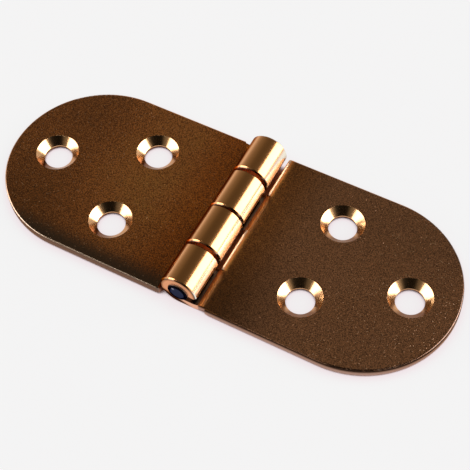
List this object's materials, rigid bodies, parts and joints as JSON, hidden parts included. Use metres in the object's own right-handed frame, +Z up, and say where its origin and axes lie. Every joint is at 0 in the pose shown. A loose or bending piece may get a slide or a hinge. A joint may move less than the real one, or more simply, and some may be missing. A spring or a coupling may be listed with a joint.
{
  "type": "flap hinge",
  "caption": "Round-ended flap hinge: flat sheet leaves with countersunk screw holes, rolled into knuckles round a plain steel pin.",
  "frame": {"origin": "middle of the barrel's lowest line, on the surface that the open hinge lies on", "axes": "+Y along the pin, +X along the right leaf to its tip, +Z up, the side that screws enter from"},
  "size_m": [0.08, 0.0318, 0.0064],
  "materials": {
    "leaf_brass": "satin",
    "pin_steel": "satin"
  },
  "bodies": {
    "right_leaf": {"right_leaf": "leaf_brass", "hinge_pin": "pin_steel"},
    "left_leaf": {"left_leaf": "leaf_brass"}
  },
  "joints": [
    {"name": "leaf_hinge", "type": "hinge", "parent": "right_leaf", "child": "left_leaf", "pos_m": [0, 0, 0.0032], "axis": [0, 1, 0], "range_deg": [-90, 180]}
  ]
}
